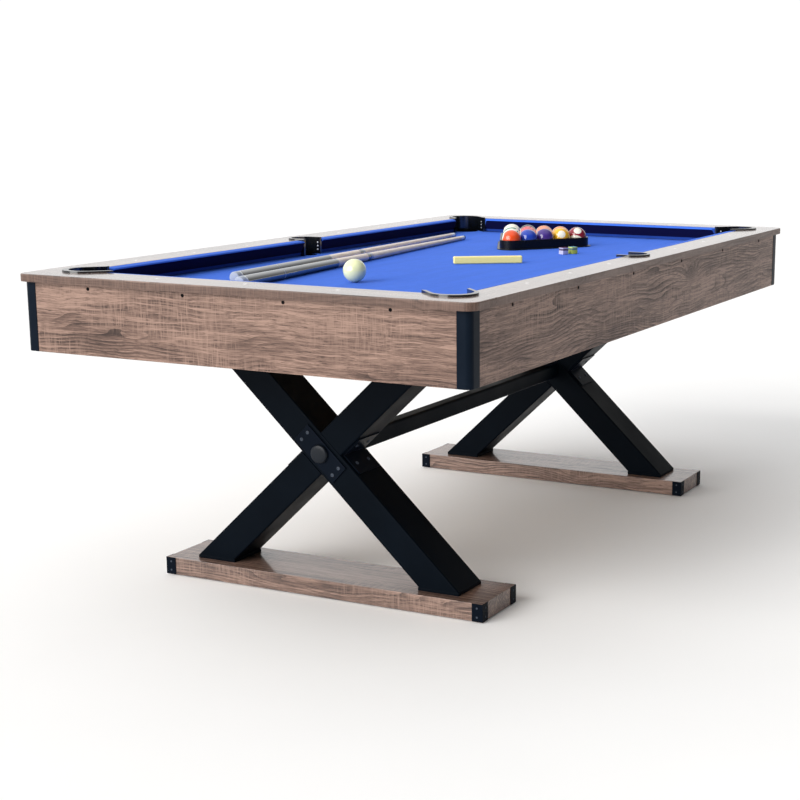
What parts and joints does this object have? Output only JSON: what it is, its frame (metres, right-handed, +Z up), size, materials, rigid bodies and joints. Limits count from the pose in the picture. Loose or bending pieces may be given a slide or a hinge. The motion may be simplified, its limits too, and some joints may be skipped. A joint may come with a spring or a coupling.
{
  "type": "pool table",
  "caption": "Pool table with a laminated cabinet, blue cloth bed, drop pockets and two black X legs on foot boards, with cues, balls, rack, brush and chalk laid out on it.",
  "frame": {"origin": "on the floor under the middle of the table", "axes": "+X along the table from the head end to the foot end, +Y across it to the left as seen from the head end, +Z up"},
  "size_m": [2.151, 1.183, 0.8004],
  "materials": {
    "rail_laminate": "oak-look laminate",
    "cabinet_laminate": "oak-look laminate",
    "frame_board": "plain fibreboard",
    "bed_cloth": "woven billiard cloth",
    "cushion_cloth": "woven billiard cloth over rubber",
    "pocket_plastic": "satin moulded plastic",
    "sight_pearl": "pearl plastic",
    "post_plastic": "satin plastic",
    "leveller_plastic": "moulded plastic",
    "cue_lacquer": "black gloss lacquer",
    "cue_maple": "clear lacquer",
    "cue_ball_resin": "polished resin",
    "ball_resin": "polished resin, one colour a ball",
    "rack_plastic": "satin plastic",
    "chalk_paper": "paper label over chalk",
    "brush_wood": "pale varnished wood",
    "brush_bristle": "bristle",
    "black_steel": "black powder coat"
  },
  "bodies": {
    "table": {"apron_screws": "black_steel", "bed_board": "frame_board", "bed_cloth": "bed_cloth", "bed_ledgers": "frame_board", "corner_posts": "post_plastic", "foot_apron": "cabinet_laminate", "foot_board_caps": "black_steel", "foot_cap_screws": "black_steel", "foot_cross_member": "frame_board", "foot_cushion": "cushion_cloth", "foot_foot_board": "cabinet_laminate", "foot_left_pocket": "pocket_plastic", "foot_leg_lower_beam": "black_steel", "foot_leg_through_beam": "black_steel", "foot_leg_upper_beam": "black_steel", "foot_rail_cap": "rail_laminate", "foot_right_pocket": "pocket_plastic", "head_apron": "cabinet_laminate", "head_cross_member": "frame_board", "head_cushion": "cushion_cloth", "head_foot_board": "cabinet_laminate", "head_left_pocket": "pocket_plastic", "head_leg_lower_beam": "black_steel", "head_leg_through_beam": "black_steel", "head_leg_upper_beam": "black_steel", "head_rail_cap": "rail_laminate", "head_right_pocket": "pocket_plastic", "left_apron": "cabinet_laminate", "left_foot_cushion": "cushion_cloth", "left_head_cushion": "cushion_cloth", "left_rail_cap": "rail_laminate", "leg_cover_plates": "black_steel", "leg_hub_caps": "black_steel", "leg_plates": "black_steel", "leg_screws": "black_steel", "middle_left_pocket": "pocket_plastic", "middle_right_pocket": "pocket_plastic", "notch_brackets": "black_steel", "rail_blocks": "frame_board", "rail_sights": "sight_pearl", "right_apron": "cabinet_laminate", "right_foot_cushion": "cushion_cloth", "right_head_cushion": "cushion_cloth", "right_rail_cap": "rail_laminate", "stretcher": "black_steel", "stretcher_brackets": "black_steel"},
    "head_right_leveller": {"head_right_leveller": "leveller_plastic"},
    "head_left_leveller": {"head_left_leveller": "leveller_plastic"},
    "foot_right_leveller": {"foot_right_leveller": "leveller_plastic"},
    "foot_left_leveller": {"foot_left_leveller": "leveller_plastic"},
    "cue_1": {"cue_1_butt": "cue_lacquer", "cue_1_shaft": "cue_maple"},
    "cue_2": {"cue_2_butt": "cue_lacquer", "cue_2_shaft": "cue_maple"},
    "rack": {"rack": "rack_plastic"},
    "object_balls": {"object_balls": "ball_resin"},
    "cue_ball": {"cue_ball": "cue_ball_resin"},
    "chalk_cubes": {"chalk_cubes": "chalk_paper"},
    "brush": {"brush_body": "brush_wood", "brush_bristles": "brush_bristle"}
  },
  "joints": [
    {"name": "head_right_leveller_travel", "type": "slide", "parent": "table", "child": "head_right_leveller", "axis": [0, 0, -1], "range_m": [0, 0.012]},
    {"name": "head_left_leveller_travel", "type": "slide", "parent": "table", "child": "head_left_leveller", "axis": [0, 0, -1], "range_m": [0, 0.012]},
    {"name": "foot_right_leveller_travel", "type": "slide", "parent": "table", "child": "foot_right_leveller", "axis": [0, 0, -1], "range_m": [0, 0.012]},
    {"name": "foot_left_leveller_travel", "type": "slide", "parent": "table", "child": "foot_left_leveller", "axis": [0, 0, -1], "range_m": [0, 0.012]},
    {"name": "cue_1_lift", "type": "slide", "parent": "table", "child": "cue_1", "axis": [0, 0, 1], "range_m": [0, 0.25]},
    {"name": "cue_2_lift", "type": "slide", "parent": "table", "child": "cue_2", "axis": [0, 0, 1], "range_m": [0, 0.25]},
    {"name": "rack_lift", "type": "slide", "parent": "table", "child": "rack", "axis": [0, 0, 1], "range_m": [0, 0.25]},
    {"name": "object_balls_lift", "type": "slide", "parent": "table", "child": "object_balls", "axis": [0, 0, 1], "range_m": [0, 0.25]},
    {"name": "cue_ball_lift", "type": "slide", "parent": "table", "child": "cue_ball", "axis": [0, 0, 1], "range_m": [0, 0.25]},
    {"name": "chalk_cubes_lift", "type": "slide", "parent": "table", "child": "chalk_cubes", "axis": [0, 0, 1], "range_m": [0, 0.25]},
    {"name": "brush_lift", "type": "slide", "parent": "table", "child": "brush", "axis": [0, 0, 1], "range_m": [0, 0.25]}
  ]
}
